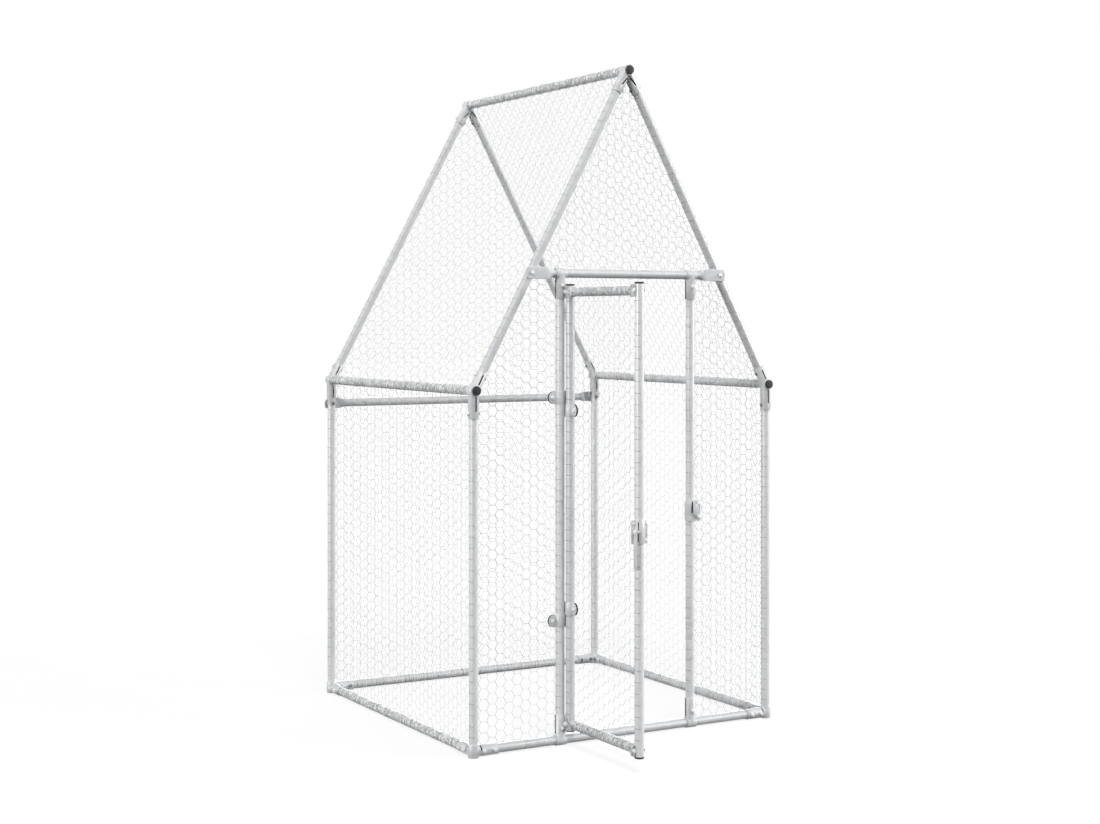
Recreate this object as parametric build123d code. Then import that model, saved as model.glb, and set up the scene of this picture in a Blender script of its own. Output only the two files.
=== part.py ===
"""Walk-in chicken cage: a galvanised tube frame with a steep gable roof, hexagonal wire netting
on every side and one hinged, latched door in the front gable.

Millimetres. +Z is up, +X to the right seen from the front, +Y from the front to the back.
The origin is on the floor, under the middle of the four corner posts.
The door stands open by door_open_angle, which is its place at rest.
"""
import math
import os

from build123d import *

# Frame, between tube axes
frame_width = 975.0
frame_depth = 973.0
base_axis_height = 17.0
eave_height = 972.0
ridge_rise = 897.0
tie_drop = 74.0
head_rise = 320.0
door_post_spacing = 434.8

# Tubes and end caps
tube_diameter = 25.0
tube_wall = 1.0
tube_overhang = 16.5
cap_thickness = 5.0
cap_stem_length = 12.0
cap_clearance = 0.1

# Pressed sleeve connectors
sleeve_wall = 2.5
sleeve_clearance = 0.05
ring_half = 16.0
foot_plate = 2.5
foot_collar = 19.0
base_arm = 72.0
eave_post_arm = 76.0
eave_rafter_arm = 56.0
ridge_arm = 72.0
tee_arm = 70.0
seam_width = 4.0
seam_depth = 2.5
seam_root = 2.0
post_seam_tail = 19.0
rafter_seam_tail = 8.0
ridge_seam_drop = 17.5
ridge_seam_tail = 24.0
notch_width = 4.0
notch_root = 1.0

# Bars with flattened ends
pad_height = 34.0
pad_thickness = 2.4
pad_corner = 8.0
taper_length = 23.0
tie_pad_length = 46.0
head_taper_gap = 9.2
frame_pad_overhang = 16.0
rail_pad_length = 21.0
rail_pad_overhang = 5.0

# Bolts
bolt_diameter = 6.0
bolt_clearance = 0.1
bolt_head_width = 10.0
bolt_head_height = 3.0
bolt_nut_height = 4.0
base_bolt_near = 26.0
base_bolt_far = 59.0
arm_bolt_setback = 14.0
tee_bolt_reach = 34.0

# Wire netting: the real mesh is net_pitch across, and one drawn cell stands for several
net_pitch = 30.0
net_cells_drawn_as_one = 5
net_wire = 2.0
net_strand = 3.0
net_hem = 4.0
net_gap = 0.5
smallest_opening = 0.06

# Door
door_open_angle = 90.0
hinge_pitch = 41.2
door_sill_gap = 25.0
door_head_gap = 30.0
top_rail_drop = 22.0
bottom_rail_rise = 21.0

# Hinges: two strap clamps and a pin each
strap_wall = 1.5
strap_height = 34.0
strap_gap = 1.0
ear_length = 38.0
ear_slot = 2.0
ear_bolt_reach = 26.0
knuckle_diameter = 11.0
knuckle_web = 6.0
pin_diameter = 6.0
pin_clearance = 0.05
pin_head_diameter = 10.0
pin_head_height = 2.0
upper_hinge_height = 947.0
lower_hinge_height = 365.0

# Latch: a clamp and a drop lever on the door, a hooked keeper on the post
latch_height = 630.0
clamp_height = 62.0
clamp_split = 0.5
clamp_slot_width = 2.6
clamp_slot_length = 20.0
clamp_slot_angle = 43.0
clamp_bolt_diameter = 5.0
clamp_bolt_width = 8.0
clamp_bolt_gap = 0.4
clamp_bolt_rise = 22.0
lever_length = 90.0
lever_width = 15.0
lever_thickness = 2.0
lever_offset = 10.0
lever_clearance = 0.3
pivot_boss_diameter = 8.0
pivot_reach = 17.2
keeper_height = 62.0
keeper_door_half = 26.5
keeper_far_half = 27.5
keeper_wall = 1.5
keeper_corner = 5.0
keeper_strap_height = 52.0
keeper_bolt_rise = 19.0
hook_width = 15.0
hook_offset = 2.0
hook_reach = 8.0
hook_wall = 2.0
hook_lip = 30.0
hook_clearance = 1.0

# Worked out from the sizes above
tube_radius = tube_diameter / 2
bore_radius = tube_radius + sleeve_clearance
sleeve_radius = bore_radius + sleeve_wall
strap_radius = bore_radius + strap_wall
left, right = -frame_width / 2, frame_width / 2
front, back = -frame_depth / 2, frame_depth / 2
base_z = base_axis_height
foot_top = base_z + foot_collar
eave_z = base_z + eave_height
ridge_z = eave_z + ridge_rise
tie_z = eave_z - tie_drop
head_z = eave_z + head_rise
hinge_x, latch_x = -door_post_spacing / 2, door_post_spacing / 2
rafter_length = math.hypot(frame_width / 2, ridge_rise)
rafter_run = frame_width / 2 / rafter_length
rafter_climb = ridge_rise / rafter_length
ridge_seat = sleeve_radius / rafter_run
head_half = frame_width / 2 * (ridge_z - head_z) / ridge_rise
head_round_half = latch_x + ring_half + head_taper_gap
head_pad_length = head_half + frame_pad_overhang - head_round_half - taper_length
tube_front, tube_back = front - tube_overhang, back + tube_overhang
pad_offset = tube_radius + pad_thickness / 2
pad_face = tube_radius + pad_thickness
tie_y = back + sleeve_radius + pad_thickness / 2
pin_x = hinge_x + hinge_pitch / 2
hinge_stile_x = hinge_x + hinge_pitch
lock_stile_x = latch_x - hinge_pitch
door_bottom, door_top = base_z + door_sill_gap, head_z - door_head_gap
top_rail_z = door_top - top_rail_drop
bottom_rail_z = door_bottom + bottom_rail_rise
pivot_x = lock_stile_x + lever_offset
DOWN, UP = (0, 0, -1), (0, 0, 1)
FRONTWARDS, BACKWARDS = (0, -1, 0), (0, 1, 0)
LEFTWARDS, RIGHTWARDS = (-1, 0, 0), (1, 0, 0)
corners = {"front_left": (left, front), "front_right": (right, front),
           "back_left": (left, back), "back_right": (right, back)}
nodes = {}
frame_bolts = []
door_parts = {}
door_bolts = []


def along(start, direction, distance):
    """The point that lies a distance from start along a unit direction."""
    return tuple(s + d * distance for s, d in zip(start, direction))


def rod(start, end, radius):
    """A solid round bar between two points."""
    run = Vector(*end) - Vector(*start)
    bar = Cylinder(radius, run.length, align=(Align.CENTER, Align.CENTER, Align.MIN))
    return Plane(origin=start, z_dir=run) * bar


def tube(start, end):
    """A length of the frame tube between two points."""
    return rod(start, end, tube_radius) - rod(start, end, tube_radius - tube_wall)


def block(first, second):
    """A box between two opposite corners."""
    low = [min(a, b) for a, b in zip(first, second)]
    size = [abs(a - b) for a, b in zip(first, second)]
    return Pos(*low) * Box(*size, align=(Align.MIN, Align.MIN, Align.MIN))


def hexagon_prism(start, direction, width, height):
    """A bolt's hexagonal head or nut, standing on a point."""
    hexagon = RegularPolygon(width / 2, 6, major_radius=False)
    return extrude(Plane(origin=start, z_dir=direction) * hexagon, height)


def seated_bolt(centre, direction, head_grip, nut_grip, width=bolt_head_width):
    """The head and the nut of a bolt through a tube, each seated on what it clamps."""
    away = tuple(-d for d in direction)
    head = hexagon_prism(along(centre, direction, head_grip), direction, width, bolt_head_height)
    nut = hexagon_prism(along(centre, away, nut_grip), away, width, bolt_nut_height)
    return [head, nut]


def through_bolt(centre, direction, head_grip, nut_grip, width=bolt_head_width, diameter=bolt_diameter):
    """A whole bolt with its nut; its head lies on the side that direction points to."""
    head, nut = seated_bolt(centre, direction, head_grip, nut_grip, width)
    shank = rod(along(centre, direction, head_grip), along(centre, direction, -nut_grip), diameter / 2)
    return head + nut + shank


def bolt_hole(centre, direction, reach, diameter=bolt_diameter):
    """The hole for a bolt, as long as reach to both sides of its centre."""
    radius = diameter / 2 + bolt_clearance
    return rod(along(centre, direction, -reach), along(centre, direction, reach), radius)


def end_cap(centre, direction):
    """A plastic plug that closes a tube's end and stands proud of it."""
    stem = rod(along(centre, direction, -cap_stem_length), centre, tube_radius - tube_wall - cap_clearance)
    return stem + rod(centre, along(centre, direction, cap_thickness), tube_radius)


def open_seam(start, end, facing):
    """The narrow cut through a sleeve's sheet between two points in it, on the side that it faces."""
    run = Vector(*end) - Vector(*start)
    seam = Plane(origin=start, z_dir=run, x_dir=facing)
    cut = Box(sleeve_radius, seam_width, run.length, align=(Align.MIN, Align.CENTER, Align.MIN))
    return seam * Pos(bore_radius - seam_depth, 0, 0) * cut


def connector(centre, ring_axis, ring_from, ring_to, arms):
    """A ring round one tube with sleeve arms; an arm is its direction, its length and its tube's seat."""
    ring_start, ring_end = along(centre, ring_axis, ring_from), along(centre, ring_axis, ring_to)
    body = rod(ring_start, ring_end, sleeve_radius)
    for direction, length, seat in arms:
        body += rod(centre, along(centre, direction, length), sleeve_radius)
    body -= rod(ring_start, ring_end, bore_radius)
    for direction, length, seat in arms:
        body -= rod(along(centre, direction, seat), along(centre, direction, length), bore_radius)
    return body


def flattened_bar(bolt_spacing, pad_shift, pad_length, overhang):
    """A tube along X whose two ends are pressed flat, set to one side and rounded off."""
    flat_half = bolt_spacing / 2 + overhang - pad_length
    round_half = flat_half - taper_length
    bar = rod((-round_half, 0, 0), (round_half, 0, 0), tube_radius)
    for side in (-1, 1):
        round_end = Plane(origin=(side * round_half, 0, 0), x_dir=(0, 1, 0), z_dir=(side, 0, 0))
        flat_end = Plane(origin=(side * flat_half, pad_shift, 0), x_dir=(0, 1, 0), z_dir=(side, 0, 0))
        bar += loft([round_end * Circle(tube_radius), flat_end * Rectangle(pad_thickness, pad_height)])
        pad_end = side * (flat_half + pad_length)
        pad = block((side * flat_half, pad_shift - pad_thickness / 2, -pad_height / 2),
                    (pad_end, pad_shift + pad_thickness / 2, pad_height / 2))
        outer_edges = pad.edges().filter_by(Axis.Y).sort_by(Axis.X)
        bar += fillet(outer_edges[-2:] if side > 0 else outer_edges[:2], pad_corner)
    return bar - rod((-round_half, 0, 0), (round_half, 0, 0), tube_radius - tube_wall)


def taper_strips(bolt_spacing, middle, height, pad_length, overhang):
    """The strips of netting that give way to a bar's flattened ends."""
    round_half = bolt_spacing / 2 + overhang - pad_length - taper_length
    half_height = pad_height / 2 + net_gap
    return [((middle + side * round_half, height), (side, 0), taper_length, half_height) for side in (-1, 1)]


def strip(start, direction, length, half_width):
    """A flat strip that runs from a point in a direction."""
    turn = math.degrees(math.atan2(direction[1], direction[0]))
    return Pos(*start) * Rot(0, 0, turn) * Rectangle(length, 2 * half_width, align=(Align.MIN, Align.CENTER))


def net_sheet(plane, outline, strips, discs=()):
    """A sheet of hexagonal netting on a plane, hung between the tube axes of an outline.

    It gives way to strips (start, direction, length, half width) and to the rings round discs.
    """
    axes = make_face(Polyline(*outline, close=True))
    edge = offset(axes, -tube_radius, kind=Kind.INTERSECTION)
    inside = offset(axes, -(tube_radius + net_hem), kind=Kind.INTERSECTION)
    edge -= [strip(*part) for part in strips]
    edge -= [Pos(*disc) * Circle(sleeve_radius) for disc in discs]
    inside -= [strip(start, way, length + net_hem, half + net_hem) for start, way, length, half in strips]
    inside -= [Pos(*disc) * Circle(sleeve_radius + net_hem) for disc in discs]
    cell = net_pitch * net_cells_drawn_as_one
    hexagon = RegularPolygon((cell - net_strand) / 2, 6, major_radius=False)
    column_step = cell * math.sqrt(3) / 2
    box = inside.bounding_box()
    middle = box.center()
    columns = math.ceil(box.size.X / 2 / column_step)
    rows = math.ceil(box.size.Y / 2 / cell) + 1
    openings = []
    for column in range(-columns, columns + 1):
        shift = cell / 2 if column % 2 else 0
        for row in range(-rows, rows + 1):
            cell_place = Pos(middle.X + column * column_step, middle.Y + row * cell + shift)
            clipped = inside & (cell_place * hexagon)
            if clipped:
                openings += [face for face in clipped.faces() if face.area > smallest_opening * hexagon.area]
    return plane * extrude(edge - openings, net_wire / 2, both=True)


def hinge_strap(tube_x, toward, z):
    """A strap clamp round an upright tube: bolted ears on one side, the hinge knuckle on the other."""
    low, high = (tube_x, front, z - strap_height / 2), (tube_x, front, z + strap_height / 2)
    knuckle_low, knuckle_high = (pin_x,) + low[1:], (pin_x,) + high[1:]
    straight = ear_length - strap_height / 2
    ear = Pos(straight / 2, 0) * Rectangle(straight, strap_height)
    ear += Pos(straight, 0) * Circle(strap_height / 2)
    ear_plane = Plane(origin=(tube_x, front, z), x_dir=(-toward, 0, 0), z_dir=(0, -1, 0))
    body = rod(low, high, strap_radius)
    body += extrude(ear_plane * ear, ear_slot / 2 + strap_wall, both=True)
    body += block((tube_x, front - knuckle_web / 2, low[2]), (pin_x, front + knuckle_web / 2, high[2]))
    body += rod(knuckle_low, knuckle_high, knuckle_diameter / 2)
    body -= rod(low, high, bore_radius)
    body -= rod(knuckle_low, knuckle_high, pin_diameter / 2 + pin_clearance)
    body -= block((tube_x, front - ear_slot / 2, low[2]),
                  (tube_x - toward * (ear_length + ear_slot), front + ear_slot / 2, high[2]))
    return body - bolt_hole((tube_x - toward * ear_bolt_reach, front, z), FRONTWARDS, strap_radius)


def strap_bolt(tube_x, toward, z):
    """The bolt that closes a hinge strap's ears."""
    grip = ear_slot / 2 + strap_wall
    return through_bolt((tube_x - toward * ear_bolt_reach, front, z), FRONTWARDS, grip, grip)


def strap_strip(tube_x, toward, z):
    """The strip of netting that gives way to a hinge strap and its ears."""
    return ((tube_x, z), (-toward, 0), ear_length + net_gap, strap_height / 2 + net_gap)


# Corner posts and rafters, each seated in its connectors
rafter_up = {}
for name, (x, y) in corners.items():
    rafter_up[name] = (-math.copysign(rafter_run, x), 0, rafter_climb)
    eave_point = (x, y, eave_z)
    nodes[f"post_{name}"] = tube((x, y, foot_plate), along(eave_point, DOWN, sleeve_radius))
    nodes[f"rafter_{name}"] = tube(along(eave_point, rafter_up[name], sleeve_radius),
                                   along(eave_point, rafter_up[name], rafter_length - ridge_seat))

# Ridge, eave and base tubes
nodes["ridge_tube"] = tube((0, tube_front, ridge_z), (0, tube_back, ridge_z))
for name, x in (("left", left), ("right", right)):
    nodes[f"eave_tube_{name}"] = tube((x, tube_front, eave_z), (x, tube_back, eave_z))
    nodes[f"base_tube_{name}"] = tube((x, front + sleeve_radius, base_z), (x, back - sleeve_radius, base_z))
for name, y in (("front", front), ("back", back)):
    nodes[f"base_tube_{name}"] = tube((left + sleeve_radius, y, base_z), (right - sleeve_radius, y, base_z))

# Bars with flattened ends, and the door posts between the base and the door head
tie = flattened_bar(frame_width, 0, tie_pad_length, frame_pad_overhang)
nodes["back_tie"] = Pos(0, tie_y, tie_z) * tie
head = flattened_bar(2 * head_half, -pad_offset, head_pad_length, frame_pad_overhang)
nodes["door_head"] = Pos(0, front, head_z) * head
door_posts = {"hinge_post": hinge_x, "latch_post": latch_x}
for name, x in door_posts.items():
    nodes[name] = tube((x, front, base_z + sleeve_radius), (x, front, head_z - sleeve_radius))

# Base corners: a foot cup with two sleeve arms, each notched at its root on its upper outside
corner_point = (left, front, base_z)
corner_arms = [(RIGHTWARDS, base_arm, sleeve_radius), (BACKWARDS, base_arm, sleeve_radius)]
base_corner = connector(corner_point, UP, foot_plate - base_z, foot_collar, corner_arms)
base_corner += rod((left, front, 0), (left, front, foot_plate), sleeve_radius)
notch_near = sleeve_radius + notch_root
notch_far = notch_near + notch_width
notch_depth = sleeve_radius + sleeve_wall
notch_top = base_z + notch_depth
base_corner -= block((left + notch_near, front, base_z), (left + notch_far, front - notch_depth, notch_top))
base_corner -= block((left, front + notch_near, base_z), (left - notch_depth, front + notch_far, notch_top))
nodes["base_corner_front_left"] = base_corner
nodes["base_corner_front_right"] = mirror(base_corner, about=Plane.YZ)
nodes["base_corner_back_left"] = mirror(base_corner, about=Plane.XZ)
nodes["base_corner_back_right"] = mirror(nodes["base_corner_back_left"], about=Plane.YZ)
for x, y in corners.values():
    to_x, to_y = -math.copysign(1, x), -math.copysign(1, y)
    for reach in (base_bolt_near, base_bolt_far):
        frame_bolts += seated_bolt((x + to_x * reach, y, base_z), (0, -to_y, 0), sleeve_radius, sleeve_radius)
        frame_bolts += seated_bolt((x, y + to_y * reach, base_z), (-to_x, 0, 0), sleeve_radius, sleeve_radius)

# Eave joints: a ring round the eave tube, one arm down to the post and one up to the rafter
eave_point = (left, front, eave_z)
eave_arms = [(DOWN, eave_post_arm, sleeve_radius), (rafter_up["front_left"], eave_rafter_arm, sleeve_radius)]
eave_joint = connector(eave_point, BACKWARDS, -ring_half, ring_half, eave_arms)
for (direction, length, seat), tail in zip(eave_arms, (post_seam_tail, rafter_seam_tail)):
    eave_joint -= open_seam(along(eave_point, direction, seat + seam_root),
                            along(eave_point, direction, length - tail), FRONTWARDS)
nodes["eave_joint_front_left"] = eave_joint
nodes["eave_joint_front_right"] = mirror(eave_joint, about=Plane.YZ)
for side in ("left", "right"):
    nodes[f"eave_joint_back_{side}"] = Pos(0, frame_depth, 0) * nodes[f"eave_joint_front_{side}"]
for name, (x, y) in corners.items():
    outward = math.copysign(1, x)
    post_bolt = (x, y, eave_z - eave_post_arm + arm_bolt_setback)
    frame_bolts += seated_bolt(post_bolt, (outward, 0, 0), sleeve_radius, sleeve_radius)
    across = (outward * rafter_climb, 0, rafter_run)
    for reach in (eave_rafter_arm - arm_bolt_setback, rafter_length - ridge_arm + arm_bolt_setback):
        rafter_bolt = along((x, y, eave_z), rafter_up[name], reach)
        frame_bolts += seated_bolt(rafter_bolt, across, sleeve_radius, sleeve_radius)

# Ridge joints: a ring round the ridge tube and an arm down to each rafter, with seams from the crotch
rafter_down = [(-rafter_run, 0, -rafter_climb), (rafter_run, 0, -rafter_climb)]
for name, y in (("front", front), ("back", back)):
    arms = [(direction, ridge_arm, ridge_seat) for direction in rafter_down]
    joint = connector((0, y, ridge_z), BACKWARDS, -ring_half, ring_half, arms)
    for direction, length, seat in arms:
        joint -= open_seam((0, y, ridge_z - ridge_seam_drop),
                           along((0, y, ridge_z), direction, length - ridge_seam_tail), FRONTWARDS)
    nodes[f"ridge_joint_{name}"] = joint

# Post tees: a ring round the base tube or the door head, and one arm, open along its seam, round the post
tee_point = (hinge_x, front, base_z)
foot_tee = connector(tee_point, RIGHTWARDS, -ring_half, ring_half, [(UP, tee_arm, sleeve_radius)])
foot_tee -= open_seam(along(tee_point, UP, sleeve_radius + seam_root),
                      along(tee_point, UP, tee_arm + seam_width), LEFTWARDS)
head_tee = mirror(foot_tee, about=Plane.XY.offset((base_z + head_z) / 2))
for name, x in door_posts.items():
    nodes[f"{name}_foot_tee"] = Pos(x - hinge_x, 0, 0) * foot_tee
    nodes[f"{name}_head_tee"] = Pos(x - hinge_x, 0, 0) * head_tee
    for bolt_z in (base_z + tee_bolt_reach, head_z - tee_bolt_reach):
        frame_bolts += seated_bolt((x, front, bolt_z), FRONTWARDS, sleeve_radius, sleeve_radius)

# End caps of the eave and ridge tubes, and the bolts of the flattened bars
tube_caps = []
for x, z in ((left, eave_z), (right, eave_z), (0, ridge_z)):
    tube_caps += [end_cap((x, tube_front, z), FRONTWARDS), end_cap((x, tube_back, z), BACKWARDS)]
nodes["tube_end_caps"] = Compound(children=tube_caps)
for side in (-1, 1):
    frame_bolts += seated_bolt((side * head_half, front, head_z), FRONTWARDS, pad_face, tube_radius)
    frame_bolts += seated_bolt((side * frame_width / 2, back, tie_z), BACKWARDS,
                               sleeve_radius + pad_thickness, sleeve_radius)

# Hinges: the post's strap is above at the upper hinge and below at the lower one
strap_step = (strap_height + strap_gap) / 2
hinge_pins, post_strips, door_strips = [], [], []
for name, z, post_side in (("upper", upper_hinge_height, 1), ("lower", lower_hinge_height, -1)):
    post_z, door_z = z + post_side * strap_step, z - post_side * strap_step
    nodes[f"hinge_post_strap_{name}"] = hinge_strap(hinge_x, 1, post_z)
    frame_bolts.append(strap_bolt(hinge_x, 1, post_z))
    post_strips.append(strap_strip(hinge_x, 1, post_z))
    door_parts[f"hinge_door_strap_{name}"] = hinge_strap(hinge_stile_x, -1, door_z)
    door_bolts.append(strap_bolt(hinge_stile_x, -1, door_z))
    door_strips.append(strap_strip(hinge_stile_x, -1, door_z))
    head_seat = (pin_x, front, post_z + post_side * strap_height / 2)
    pin_end = (pin_x, front, door_z - post_side * strap_height / 2)
    pin_head = (pin_x, front, head_seat[2] + post_side * pin_head_height)
    shank = rod(pin_end, head_seat, pin_diameter / 2)
    hinge_pins.append(shank + rod(head_seat, pin_head, pin_head_diameter / 2))
nodes["hinge_pins"] = Compound(children=hinge_pins)

# Latch keeper: a plate with a hook for the lever, drawn against the latch post by a strap round it
plate_back, plate_front = front - tube_radius, front - tube_radius - keeper_wall
keeper_plane = Plane(origin=(latch_x, plate_back, latch_height), x_dir=RIGHTWARDS, z_dir=FRONTWARDS)
keeper_shape = Pos((keeper_far_half - keeper_door_half) / 2, 0) * RectangleRounded(
    keeper_far_half + keeper_door_half, keeper_height, keeper_corner)
keeper = extrude(keeper_plane * keeper_shape, keeper_wall)
hook_left, hook_right = latch_x - hook_offset, latch_x - hook_offset + hook_width
shelf_top = latch_height - lever_width / 2 - hook_clearance
shelf_low = shelf_top - hook_wall
lip_back = plate_front - hook_reach
keeper += block((hook_left, lip_back - hook_wall, shelf_low), (hook_right, plate_front, shelf_top))
keeper += block((hook_left, lip_back - hook_wall, shelf_low), (hook_right, lip_back, shelf_low + hook_lip))
strap_low, strap_high = latch_height - keeper_strap_height / 2, latch_height + keeper_strap_height / 2
wing_front = plate_back
keeper_strap = rod((latch_x, front, strap_low), (latch_x, front, strap_high), strap_radius)
keeper_strap += block((latch_x - strap_radius, wing_front, strap_low),
                      (latch_x + strap_radius, front, strap_high))
keeper_strap -= block((latch_x - strap_radius, wing_front, strap_low),
                      (latch_x + strap_radius, front - 2 * strap_radius, strap_high))
keeper_strap += block((latch_x - keeper_door_half, wing_front, strap_low),
                      (latch_x + keeper_far_half, wing_front + strap_wall, strap_high))
keeper_strap -= rod((latch_x, front, strap_low), (latch_x, front, strap_high), bore_radius)
keeper_strap -= block((latch_x - bore_radius, wing_front - strap_wall, strap_low),
                      (latch_x + bore_radius, front, strap_high))
for rise in (-keeper_bolt_rise, keeper_bolt_rise):
    bolt = (latch_x + (strap_radius + keeper_far_half) / 2, plate_back, latch_height + rise)
    keeper -= bolt_hole(bolt, FRONTWARDS, strap_radius)
    keeper_strap -= bolt_hole(bolt, FRONTWARDS, strap_wall * 2)
    frame_bolts.append(through_bolt(bolt, FRONTWARDS, keeper_wall, strap_wall))
nodes["latch_keeper"] = keeper
nodes["latch_keeper_strap"] = keeper_strap
post_strips.append(((latch_x, latch_height), (1, 0), strap_radius + net_gap,
                    keeper_strap_height / 2 + net_gap))
nodes["frame_bolts"] = Compound(children=frame_bolts)

# Door frame: two capped stiles and two rails with flattened ends
stile_low, stile_high = door_bottom + cap_thickness, door_top - cap_thickness
door_caps = []
for name, x in (("hinge", hinge_stile_x), ("lock", lock_stile_x)):
    door_parts[f"door_{name}_stile"] = tube((x, front, stile_low), (x, front, stile_high))
    door_caps += [end_cap((x, front, stile_low), DOWN), end_cap((x, front, stile_high), UP)]
door_parts["door_end_caps"] = Compound(children=door_caps)
door_width = lock_stile_x - hinge_stile_x
door_middle = (hinge_stile_x + lock_stile_x) / 2
rail = flattened_bar(door_width, -pad_offset, rail_pad_length, rail_pad_overhang)
for name, z in (("top", top_rail_z), ("bottom", bottom_rail_z)):
    door_parts[f"door_{name}_rail"] = Pos(door_middle, front, z) * rail
    door_strips += taper_strips(door_width, door_middle, z, rail_pad_length, rail_pad_overhang)
    for x in (hinge_stile_x, lock_stile_x):
        door_bolts += seated_bolt((x, front, z), FRONTWARDS, pad_face, tube_radius)

# Latch clamp on the lock stile: two pressed halves with bolted flanges to the outside and the inside
clamp_low, clamp_high = latch_height - clamp_height / 2, latch_height + clamp_height / 2
stile_bore = rod((lock_stile_x, front, clamp_low), (lock_stile_x, front, clamp_high), bore_radius)
clamp_ring = rod((lock_stile_x, front, clamp_low), (lock_stile_x, front, clamp_high), strap_radius)
flange_middle = strap_radius + clamp_bolt_gap + clamp_bolt_width / math.sqrt(3)
clamp_reach = 2 * flange_middle - strap_radius
pivot_root = math.sqrt(max(0, bore_radius ** 2 - (lever_offset - pin_diameter / 2) ** 2)) + clamp_split
pivot_seat = (pivot_x, front - pivot_reach, latch_height)
clamp_bolts = [(lock_stile_x, front - flange_middle, latch_height + clamp_bolt_rise),
               (lock_stile_x, front + flange_middle, latch_height + clamp_bolt_rise),
               (lock_stile_x, front + flange_middle, latch_height - clamp_bolt_rise)]
for name, side in (("edge", 1), ("inner", -1)):
    near = lock_stile_x + side * clamp_split / 2
    half = clamp_ring & block((near, front - clamp_reach, clamp_low),
                              (near + side * clamp_reach, front + clamp_reach, clamp_high))
    half += block((near, front - clamp_reach, clamp_low),
                  (near + side * strap_wall, front + clamp_reach, clamp_high))
    if name == "edge":
        half += rod((pivot_x, front, latch_height), pivot_seat, pivot_boss_diameter / 2)
        half -= rod((pivot_x, front - pivot_root, latch_height), pivot_seat, pin_diameter / 2 + pin_clearance)
        slot = Box(clamp_reach, clamp_slot_width, clamp_slot_length,
                   align=(Align.MIN, Align.CENTER, Align.CENTER))
        for rise in (-clamp_height / 4, clamp_height / 4):
            half -= Pos(lock_stile_x, front, latch_height + rise) * Rot(0, 0, -clamp_slot_angle) * slot
    half -= stile_bore
    for bolt in clamp_bolts:
        half -= bolt_hole(bolt, RIGHTWARDS, clamp_reach, clamp_bolt_diameter)
    door_parts[f"latch_clamp_{name}"] = half
clamp_grip = clamp_split / 2 + strap_wall
for bolt in clamp_bolts:
    door_bolts.append(through_bolt(bolt, LEFTWARDS, clamp_grip, clamp_grip, clamp_bolt_width,
                                   clamp_bolt_diameter))
door_strips.append(((lock_stile_x, latch_height), (-1, 0), strap_radius + net_gap,
                    clamp_height / 2 + net_gap))

# Latch pivot and lever: the lever hangs on the outside of the door
lever_back = front - pivot_reach - lever_clearance
lever_front = lever_back - lever_thickness
pivot_head = (pivot_x, lever_front - lever_clearance, latch_height)
door_bolts.append(rod((pivot_x, front - pivot_root, latch_height), pivot_head, pin_diameter / 2)
                  + rod(pivot_head, along(pivot_head, FRONTWARDS, pin_head_height), pin_head_diameter / 2))
door_parts["door_bolts"] = Compound(children=door_bolts)
lever_shape = Pos(0, -lever_length / 2) * SlotOverall(lever_length + lever_width, lever_width, rotation=90)
lever_shape -= Circle(pin_diameter / 2 + pin_clearance)
lever_plane = Plane(origin=(pivot_x, lever_back, latch_height), x_dir=RIGHTWARDS, z_dir=FRONTWARDS)
door_parts["latch_lever"] = extrude(lever_plane * lever_shape, lever_thickness)

# Netting of the side walls and the two roof slopes
bolt_strip = sleeve_radius + bolt_nut_height + net_gap
bolt_half = bolt_head_width / math.sqrt(3) + net_gap
wall_strips = [((back, tie_z), (-1, 0), bolt_strip, bolt_half)]
head_bolt_reach = (head_z - eave_z) / rafter_climb
head_nut_room = tube_radius + bolt_nut_height + net_gap
slope_strips = [((front, head_bolt_reach), (1, 0), head_nut_room, bolt_half)]
for y, inward in ((front, 1), (back, -1)):
    wall_strips.append(((y, 0), (0, 1), foot_top, sleeve_radius))
    wall_strips.append(((y, base_z), (inward, 0), base_arm, sleeve_radius))
    wall_strips.append(((y, eave_z), (0, -1), eave_post_arm, sleeve_radius))
    wall_strips.append(((y, eave_z), (inward, 0), ring_half, sleeve_radius))
    slope_strips.append(((y, 0), (0, 1), eave_rafter_arm, sleeve_radius))
    slope_strips.append(((y, 0), (inward, 0), ring_half, sleeve_radius))
    slope_strips.append(((y, rafter_length), (0, -1), ridge_arm, sleeve_radius))
    slope_strips.append(((y, rafter_length), (inward, 0), ring_half, sleeve_radius))
wall_outline = [(front, base_z), (back, base_z), (back, eave_z), (front, eave_z)]
slope_outline = [(front, 0), (back, 0), (back, rafter_length), (front, rafter_length)]
for side, x in (("left", left), ("right", right)):
    wall_plane = Plane(origin=(x, 0, 0), x_dir=BACKWARDS, z_dir=RIGHTWARDS)
    nodes[f"net_{side}_wall"] = net_sheet(wall_plane, wall_outline, wall_strips)
    slope_plane = Plane(origin=(x, 0, eave_z), x_dir=BACKWARDS,
                        z_dir=(rafter_climb, 0, math.copysign(rafter_run, x)))
    nodes[f"net_{side}_roof"] = net_sheet(slope_plane, slope_outline, slope_strips)

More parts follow.
